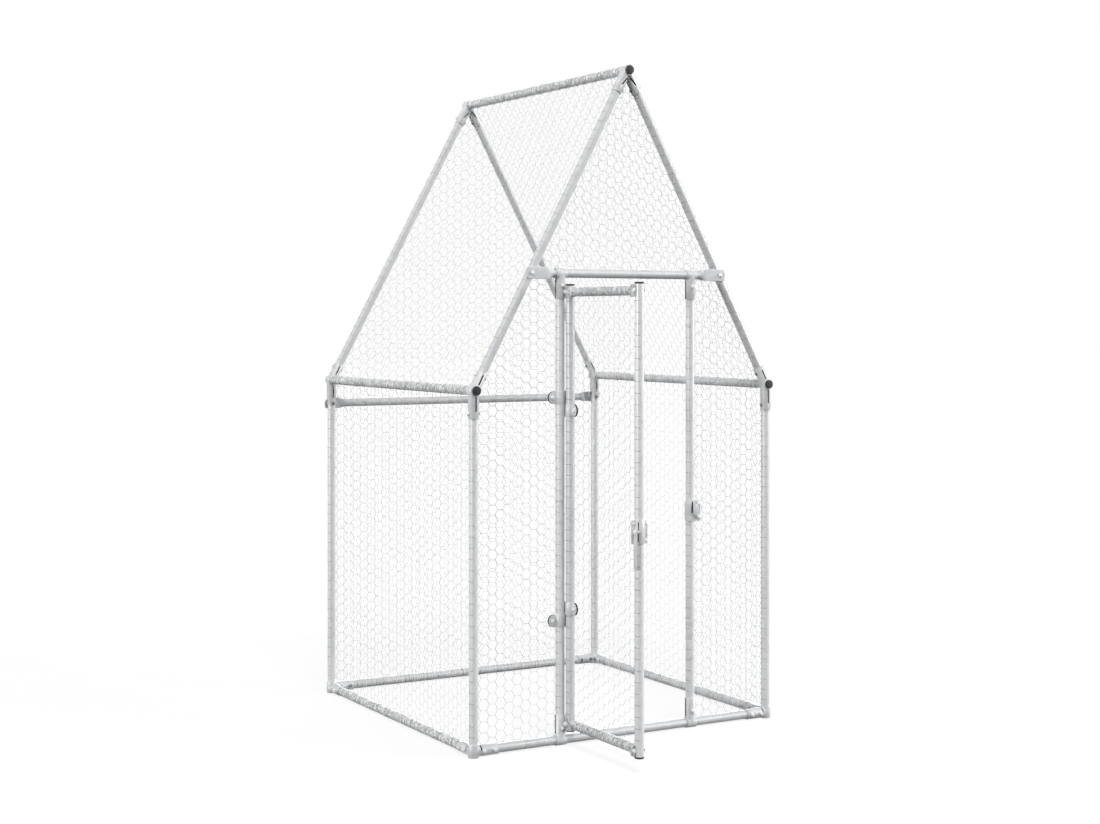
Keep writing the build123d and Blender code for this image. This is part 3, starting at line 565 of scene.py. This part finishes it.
def pressed_bar(node, bolt_spacing, offset, pad, body, pose, zinc=level_zinc_painted_shade):
    """A tube with both ends pressed flat and rounded off, in the place of its CAD node."""
    pad_length, overhang = pad
    end = bolt_spacing / 2 + overhang
    flat_start = end - pad_length
    stations = []
    for degrees in range(0, 91, corner_step):
        angle = math.radians(degrees)
        narrowing = pad_corner / (pad_height / 2) * (1 - math.sin(angle))
        stations.append((end - pad_corner * (1 - math.cos(angle)), 1, 1 - narrowing))
    for step in range(taper_steps + 1):
        share = step / taper_steps
        stations.append((flat_start - taper_length * share, 1 - share * share * (3 - 2 * share), 1))
    stations += [(-x, flat, squeeze) for x, flat, squeeze in reversed(stations)]
    shape = bmesh.new()
    loops = []
    for x, flat, squeeze in stations:
        section = pressed_section(flat, squeeze, offset)
        loops.append([shape.verts.new(pose @ Vector((x, y, z))) for y, z in section])
    for near, far in zip(loops, loops[1:]):
        for step in range(bar_sides):
            after = (step + 1) % bar_sides
            shape.faces.new((near[step], near[after], far[after], far[step]))
    shape.faces.new(loops[0])
    shape.faces.new(loops[-1])
    bmesh.ops.recalc_face_normals(shape, faces=shape.faces)
    mesh = bpy.data.meshes.new(f"{node}_bar")
    shape.to_mesh(mesh)
    shape.free()
    smooth(mesh, bar_crease)
    dress(new_object(f"{node}_bar", mesh, zinc), body, "galvanised_tube", node)


pad_offset = tube_radius + pad_thickness / 2
tie_place = Matrix.Translation((0, back + sleeve_radius + pad_thickness / 2, tie_z))
pressed_bar("back_tie", frame_width, 0, tie_pad, "frame", tie_place)
head_place = Matrix.Translation((0, front, head_z))
pressed_bar("door_head", 2 * head_half, -pad_offset, head_pad, "frame", head_place)
door_middle = (hinge_stile_x + lock_stile_x) / 2
for rail, z in (("door_top_rail", top_rail_z), ("door_bottom_rail", bottom_rail_z)):
    rail_place = door_open @ Matrix.Translation((door_middle, front, z))
    pressed_bar(rail, lock_stile_x - hinge_stile_x, -pad_offset, rail_pad, "door", rail_place, rail_zinc_painted_shade_glints)


# Fittings and plugs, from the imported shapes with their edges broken
def fitting(node, body="frame", slot="galvanised_fitting", material=fitting_zinc, edge=edge_break):
    """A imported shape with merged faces, softened edges and smooth rounds."""
    shape = bmesh.new()
    shape.from_mesh(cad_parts[node].data)
    bmesh.ops.remove_doubles(shape, verts=shape.verts, dist=merge_distance)
    bmesh.ops.dissolve_limit(shape, angle_limit=math.radians(flat_angle), verts=shape.verts,
                             edges=shape.edges)
    sharp = [e for e in shape.edges if e.is_manifold and e.calc_face_angle() > math.radians(plain_crease)]
    bmesh.ops.bevel(shape, geom=sharp, offset=edge, segments=2, profile=0.5, affect="EDGES",
                    clamp_overlap=True)
    mesh = bpy.data.meshes.new(f"{node}_piece")
    shape.to_mesh(mesh)
    shape.free()
    smooth(mesh)
    dress(new_object(f"{node}_piece", mesh, material), body, slot, node)


for corner in corners:
    fitting(f"base_corner_{corner}")
    fitting(f"eave_joint_{corner}")
for side in ("front", "back"):
    fitting(f"ridge_joint_{side}")
for post in ("hinge_post", "latch_post"):
    for end in ("foot", "head"):
        fitting(f"{post}_{end}_tee")
for hinge in ("upper", "lower"):
    fitting(f"hinge_post_strap_{hinge}")
    fitting(f"hinge_door_strap_{hinge}", "door")
fitting("latch_keeper")
fitting("latch_keeper_strap")
fitting("latch_clamp_edge", "door")
fitting("latch_clamp_inner", "door")
fitting("latch_lever", "lever")
# The hinge pins carry no painted light, so they take the bolt zinc's dark end: painted shade in the hinge
# knuckles
fitting("hinge_pins", "frame", "zinc_bolt", bolt_zinc)
fitting("tube_end_caps", "frame", "black_plastic", plug_black, plug_edge_break)
fitting("door_end_caps", "door", "black_plastic", plug_black, plug_edge_break)


# The open seams, notches and slots of the fittings, with painted shade: a near-black bar or band where the
# shadow between the sheet's edges falls
def sleeve_seams():
    """The start, end, width, side and distance from the axis of each seam and of the keeper's throat."""
    seams = []

    def add(start, end, facing):
        seams.append((start, end, seam_width, facing, seam_reach))

    for x, y in corners.values():
        eave_point = Vector((x, y, eave_z))
        for way, reach in ((-Z, eave_post_arm - post_seam_tail),
                           (uphill(x), eave_rafter_arm - rafter_seam_tail)):
            add(eave_point + way * (sleeve_seat + seam_root), eave_point + way * reach, -Y)
    for y in (front, back):
        ridge_point = Vector((0, y, ridge_z))
        for x in (left, right):
            seam_top = ridge_point - Z * ridge_seam_drop
            seam_foot = ridge_point - uphill(x) * (ridge_arm - ridge_seam_tail)
            add(seam_top.lerp(seam_foot, ridge_seam_start), seam_foot, -Y)
    for x in (hinge_x, latch_x):
        for z, way in ((base_z, Z), (head_z, -Z)):
            tee_point = Vector((x, front, z))
            add(tee_point + way * (sleeve_seat + seam_root), tee_point + way * tee_arm, -X)
    throat_foot, throat_head = [Vector((hook_x, front - keeper_wall, z)) for z in (hook_low, hook_high)]
    seams.append((throat_foot, throat_head, hook_throat, -Y, tube_radius))
    return seams


def clamp_slots():
    """The slots of the latch clamp, on the door drawn shut."""
    turn = math.radians(clamp_slot_angle)
    facing = Vector((math.cos(turn), -math.sin(turn), 0))
    slots = []
    for rise in (-clamp_slot_rise, clamp_slot_rise):
        middle = Vector((lock_stile_x, front, latch_z + rise))
        half = Z * (clamp_slot_length / 2)
        slots.append((middle - half, middle + half, clamp_slot_width, facing, tube_radius))
    return slots


def notch_bands():
    """The middle, direction, radius and width of the painted-shade band in each notch of the base corners."""
    radius = tube_radius + seam_lift
    bands = []
    for x, y in corners.values():
        bands.append((Vector((x - math.copysign(notch_middle, x), y, base_z)), X, radius, notch_width))
        bands.append((Vector((x, y - math.copysign(notch_middle, y), base_z)), Y, radius, notch_width))
    return bands


def ear_bands(x, way):
    """The same for the gap in the ear of each hinge strap: way is 1 on the post and -1 on the door."""
    radius = strap_height / 2 + ear_gap_lift
    bands = []
    for z, post_side in hinge_heights:
        strap_z = z + way * post_side * (strap_height + strap_gap) / 2
        bands.append((Vector((x - way * ear_reach, front, strap_z)), Y, radius, ear_gap_width))
    return bands


def painted_gap_shade(name, body, seams, bands, pose):
    """Painted shade: a near-black bar in each seam, and a near-black band in each notch and round gap."""
    shape = bmesh.new()
    for start, end, width, facing, reach in seams:
        run = end - start
        way = run.normalized()
        turn = Matrix((way.cross(facing), way, facing)).transposed().to_4x4()
        middle = Matrix.Translation((start + end) / 2 + facing * reach)
        size = Matrix.Diagonal((width, run.length, 2 * seam_lift, 1))
        bmesh.ops.create_cube(shape, size=1.0, matrix=pose @ middle @ turn @ size)
    for middle, way, radius, width in bands:
        turn = Z.rotation_difference(way).to_matrix().to_4x4()
        bmesh.ops.create_cone(shape, cap_ends=True, segments=tube_sides, radius1=radius, radius2=radius,
                              depth=width, matrix=pose @ Matrix.Translation(middle) @ turn)
    bmesh.ops.recalc_face_normals(shape, faces=shape.faces)
    mesh = bpy.data.meshes.new(name)
    shape.to_mesh(mesh)
    shape.free()
    smooth(mesh)
    dress(new_object(name, mesh, seam_painted_shade), body, "galvanised_fitting")


painted_gap_shade("frame_gap_shade", "frame", sleeve_seams(), notch_bands() + ear_bands(hinge_x, 1), at_rest)
painted_gap_shade("door_gap_shade", "door", clamp_slots(), ear_bands(hinge_stile_x, -1), door_open)

# Bolts: heads and nuts on everything that is clamped
bolt_group = bolt_tree()
NUT, HEAD = 0, 1


def bolt_pair(centre, direction, head_grip, nut_grip, size=1.0, nut_painted_light=0.0):
    """The points of a bolt's head and of its nut, which mostly takes painted shade and so is darker than the
    head.
    """
    centre, direction = Vector(centre), Vector(direction)
    return [(centre + direction * head_grip, direction, HEAD, size, 1.0),
            (centre - direction * nut_grip, -direction, NUT, size, nut_painted_light)]


def frame_bolt_points():
    """Every bolt of the frame, its connectors, bars, hinge straps and keeper."""
    points = []
    for x, y in corners.values():
        out_x, out_y = math.copysign(1, x), math.copysign(1, y)
        for reach in base_bolts:
            points += bolt_pair((x - out_x * reach, y, base_z), (0, out_y, 0), sleeve_radius, sleeve_radius)
            points += bolt_pair((x, y - out_y * reach, base_z), (out_x, 0, 0), sleeve_radius, sleeve_radius)
        post_bolt = (x, y, eave_z - eave_post_arm + arm_bolt_setback)
        points += bolt_pair(post_bolt, (out_x, 0, 0), sleeve_radius, sleeve_radius)
        across = (out_x * rafter_climb, 0, rafter_run)
        for reach in (eave_rafter_arm - arm_bolt_setback, rafter_length - ridge_arm + arm_bolt_setback):
            rafter_bolt = Vector((x, y, eave_z)) + uphill(x) * reach
            points += bolt_pair(rafter_bolt, across, sleeve_radius, sleeve_radius)
    for x in (hinge_x, latch_x):
        for z in (base_z + tee_bolt_reach, head_z - tee_bolt_reach):
            points += bolt_pair((x, front, z), (0, -1, 0), sleeve_radius, sleeve_radius)
    for side in (-1, 1):
        points += bolt_pair((side * head_half, front, head_z), (0, -1, 0),
                            tube_radius + pad_thickness, tube_radius)
        points += bolt_pair((side * frame_width / 2, back, tie_z), (0, 1, 0),
                            sleeve_radius + pad_thickness, sleeve_radius)
    for z, post_side in hinge_heights:
        strap_z = z + post_side * (strap_height + strap_gap) / 2
        points += bolt_pair((hinge_x - ear_bolt_reach, front, strap_z), (0, -1, 0), ear_grip, ear_grip)
    for rise in (-keeper_bolt_rise, keeper_bolt_rise):
        points += bolt_pair((latch_x + keeper_bolt_x, front - tube_radius, latch_z + rise), (0, -1, 0),
                            keeper_wall, strap_wall)
    return points


def door_bolt_points():
    """Every bolt of the door, drawn shut: rails, hinge straps, latch clamp and lever pivot."""
    points = []
    for x in (hinge_stile_x, lock_stile_x):
        for z in (top_rail_z, bottom_rail_z):
            points += bolt_pair((x, front, z), (0, -1, 0), tube_radius + pad_thickness, tube_radius)
    for z, post_side in hinge_heights:
        strap_z = z - post_side * (strap_height + strap_gap) / 2
        points += bolt_pair((hinge_stile_x + ear_bolt_reach, front, strap_z), (0, -1, 0), ear_grip, ear_grip)
    for side, rise in ((-1, 1), (1, 1), (1, -1)):
        place = (lock_stile_x, front + side * clamp_flange_middle, latch_z + rise * clamp_bolt_rise)
        points += bolt_pair(place, (-1, 0, 0), clamp_grip, clamp_grip, small_bolt, nut_painted_light=1.0)
    points.append((Vector((lock_stile_x + lever_offset, front - lever_front, latch_z)), -Y, HEAD, 1.0, 1.0))
    return points


def bolts(node, body, points, pose):
    """All bolts of one body in one piece."""
    base = point_mesh(f"{node}_points", points, pose)
    mesh = grown_mesh(f"{node}_set", bolt_group, {"Width": bolt_width, "Height": bolt_height,
                                                  "Nut": nut_height, "Material": bolt_zinc}, base)
    smooth(mesh, bolt_crease)
    dress(new_object(f"{node}_set", mesh, bolt_zinc), body, "zinc_bolt", node)


bolts("frame_bolts", "frame", frame_bolt_points(), at_rest)
bolts("door_bolts", "door", door_bolt_points(), door_open)

# Netting, grown as a flat sheet, trimmed to the tubes and hung in its plane
net_group = net_tree()


def trimmed(mesh, outline, margin):
    """Cuts a flat net along the lines that lie a margin inside its outline."""
    shape = bmesh.new()
    shape.from_mesh(mesh)
    for here, there in zip(outline, outline[1:] + outline[:1]):
        run = Vector((there[0] - here[0], there[1] - here[1], 0)).normalized()
        outwards = Vector((run.y, -run.x, 0))
        everything = list(shape.verts) + list(shape.edges) + list(shape.faces)
        cut = bmesh.ops.bisect_plane(shape, geom=everything, plane_co=Vector((*here, 0)) - outwards * margin,
                                     plane_no=outwards, clear_outer=True)
        rims = [part for part in cut["geom_cut"] if isinstance(part, bmesh.types.BMEdge)]
        bmesh.ops.holes_fill(shape, edges=rims, sides=6)
    shape.to_mesh(mesh)
    shape.free()


def net(node, body, outline, plane):
    """A sheet of netting between the tube axes of an anticlockwise outline, on its plane."""
    wide = [u for u, v in outline]
    tall = [v for u, v in outline]
    columns = math.ceil((max(wide) - min(wide)) / net_column) + spare_cells
    rows = math.ceil((max(tall) - min(tall)) / net_cell) + spare_cells
    mesh = grown_mesh(f"{node}_mesh", net_group, {"Columns": columns, "Rows": rows, "Cell": net_cell,
                                                  "Wire": net_wire_radius, "Twist": twist_wire_radius,
                                                  "Turns": twist_turns, "Material": wire_zinc})
    middle = Vector(((max(wide) + min(wide)) / 2, (max(tall) + min(tall)) / 2, 0))
    mesh.transform(Matrix.Translation(middle))
    trimmed(mesh, outline, tube_radius - net_tuck)
    mesh.transform(plane)
    smooth(mesh, wire_crease)
    dress(new_object(f"{node}_mesh", mesh, wire_zinc), body, "wire_net", node)


def plane_at(origin, across, up):
    """The plane that takes a flat net's two directions to their places."""
    across, up = Vector(across), Vector(up)
    turn = Matrix((across, up, across.cross(up))).transposed()
    return Matrix.Translation(origin) @ turn.to_4x4()


wall = [(front, base_z), (back, base_z), (back, eave_z), (front, eave_z)]
slope = [(front, 0), (back, 0), (back, rafter_length), (front, rafter_length)]
for side, x in (("left", left), ("right", right)):
    net(f"net_{side}_wall", "frame", wall, plane_at((x, 0, 0), Y, Z))
    net(f"net_{side}_roof", "frame", slope, plane_at((x, 0, eave_z), Y, uphill(x)))
gable = [(left, base_z), (right, base_z), (right, eave_z), (0, ridge_z), (left, eave_z)]
net("net_back", "frame", gable, plane_at((0, back, 0), X, Z))
front_plane = plane_at((0, front, 0), X, Z)
net("net_front_left", "frame", [(left, base_z), (hinge_x, base_z), (hinge_x, head_z), (-head_half, head_z),
                                (left, eave_z)], front_plane)
net("net_front_right", "frame", [(latch_x, base_z), (right, base_z), (right, eave_z), (head_half, head_z),
                                 (latch_x, head_z)], front_plane)
net("net_front_gable", "frame", [(-head_half, head_z), (head_half, head_z), (0, ridge_z)], front_plane)
net("net_door", "door", [(hinge_stile_x, bottom_rail_z), (lock_stile_x, bottom_rail_z),
                         (lock_stile_x, top_rail_z), (hinge_stile_x, top_rail_z)], door_open @ front_plane)

# Lacing: the netting's edge wires go round the tubes that carry it
tie_group = tie_tree()


def lacing_points(runs, pitch):
    """A tie at every pitch along each run of tube: a run is its start, its end and its two bare ends."""
    kind, size, bright = 0, 1.0, 1.0
    points = []
    for start, end, bare_start, bare_end in runs:
        start, end = Vector(start), Vector(end)
        axis = (end - start).normalized()
        length = (end - start).length - bare_start - bare_end
        count = int(length / pitch)
        for step in range(count + 1):
            place = start + axis * (bare_start + (length - count * pitch) / 2 + step * pitch)
            points.append((place, axis, kind, size, bright))
    return points


def lacing(name, body, runs, pose, pitch, winding, material, seed, spin=all_round):
    """The ties of one kind on one body, in one piece; a winding is a loop's rise and its turns."""
    rise, turns = winding
    base = point_mesh(f"{name}_points", lacing_points(runs, pitch), pose)
    mesh = grown_mesh(name, tie_group, {"Tube": tube_radius, "Wire": tie_radius, "Rise": rise, "Turns": turns,
                                        "Spin Low": math.radians(spin[0]), "Spin High": math.radians(spin[1]),
                                        "Seed": seed, "Material": material}, base)
    smooth(mesh, wire_crease)
    dress(new_object(name, mesh, material), body, "wire_net")


post_bare_head, rafter_bare_foot = eave_post_arm + tie_margin, eave_rafter_arm + tie_margin
base_bare, ridge_bare, tee_bare = base_arm + tie_margin, ridge_arm + tie_margin, tee_arm + tie_margin
upright_runs, level_runs = [], []
for x, y in corners.values():
    upright_runs.append(((x, y, base_z), (x, y, eave_z), tube_bare_end, post_bare_head))
    upright_runs.append(((x, y, eave_z), (0, y, ridge_z), rafter_bare_foot, ridge_bare))
for x in (hinge_x, latch_x):
    upright_runs.append(((x, front, base_z), (x, front, head_z), tee_bare, tee_bare))
for x in (left, right):
    level_runs.append(((x, front, base_z), (x, back, base_z), base_bare, base_bare))
    level_runs.append(((x, front, eave_z), (x, back, eave_z), tube_bare_end, tube_bare_end))
level_runs.append(((0, front, ridge_z), (0, back, ridge_z), tube_bare_end, tube_bare_end))
level_runs.append(((left, back, base_z), (right, back, base_z), base_bare, base_bare))
door_uprights = [((x, front, bottom_rail_z), (x, front, top_rail_z), stile_bare_end, stile_bare_end)
                 for x in (hinge_stile_x, lock_stile_x)]
door_levels = [((hinge_stile_x, front, z), (lock_stile_x, front, z), rail_bare_end, rail_bare_end)
               for z in (top_rail_z, bottom_rail_z)]
tie, coil = (tie_rise, tie_turns), (lacing_rise, lacing_turns)
# Ties in dark zinc paint the shade of shadowed wire; the lacing coils in pale zinc paint its highlights
lacing("frame_upright_ties", "frame", upright_runs, at_rest, net_cell, tie, post_tie_painted_shade,
       seed=3, spin=left_half)
lacing("frame_level_ties", "frame", level_runs, at_rest, net_column / 2, tie, tie_painted_shade, seed=4)
lacing("frame_lacing", "frame", level_runs, at_rest, net_column, coil, lace_painted_highlight, seed=5)
lacing("door_upright_ties", "door", door_uprights, door_open, net_cell, tie, tie_painted_shade,
       seed=7, spin=left_half)
lacing("door_level_ties", "door", door_levels, door_open, net_column / 2, tie, tie_painted_shade, seed=8)
lacing("door_lacing", "door", door_levels, door_open, net_column, coil, lace_painted_highlight, seed=9)


# Studio: pale floor, soft light, and the photograph's viewpoint
def studio_floor():
    """A wide pale floor under the cage."""
    shape = bmesh.new()
    bmesh.ops.create_grid(shape, x_segments=1, y_segments=1, size=floor_reach)
    mesh = bpy.data.meshes.new("floor")
    shape.to_mesh(mesh)
    shape.free()
    floor = new_object("floor", mesh, plain_floor())


def studio_world():
    """White to the camera and in reflections, and a softer fill on the object."""
    world = bpy.data.worlds.new("studio")
    bpy.context.scene.world = world
    world.use_nodes = True
    tree = Tree(world.node_tree)
    sky = world.node_tree.nodes["Background"]
    sky.inputs["Color"].default_value = (1, 1, 1, 1)
    strength = world_fill + seen_directly(tree) * (1 - world_fill)
    tree.node_tree.links.new(strength.output, sky.inputs["Strength"])


def studio_lamp(name, strength, softness, azimuth, elevation):
    """A broad lamp; azimuth 0 is in front of the cage and 90 to its right."""
    lamp = bpy.data.lights.new(name, "SUN")
    lamp.energy = strength
    lamp.angle = math.radians(softness)
    turn, rise = math.radians(azimuth), math.radians(elevation)
    towards = Vector((-math.sin(turn) * math.cos(rise), math.cos(turn) * math.cos(rise), -math.sin(rise)))
    sun = bpy.data.objects.new(name, lamp)
    sun.rotation_euler = towards.to_track_quat("-Z", "Y").to_euler()
    bpy.context.scene.collection.objects.link(sun)


def photo_camera():
    """The photograph's viewpoint: level, about thirty degrees to the left, with its lens shifted down."""
    lens = bpy.data.cameras.new("photo_view")
    lens.sensor_width = lens_width
    lens.lens = lens_length
    lens.shift_y = lens_shift
    camera = bpy.data.objects.new("photo_view", lens)
    camera.location = camera_place
    camera.rotation_euler = (math.radians(90), 0, math.radians(camera_turn))
    bpy.context.scene.collection.objects.link(camera)
    bpy.context.scene.camera = camera


studio_floor()
studio_world()
for lamp_name, settings in lamps.items():
    studio_lamp(lamp_name, *settings)
photo_camera()
bpy.context.scene.view_settings.view_transform = "Standard"
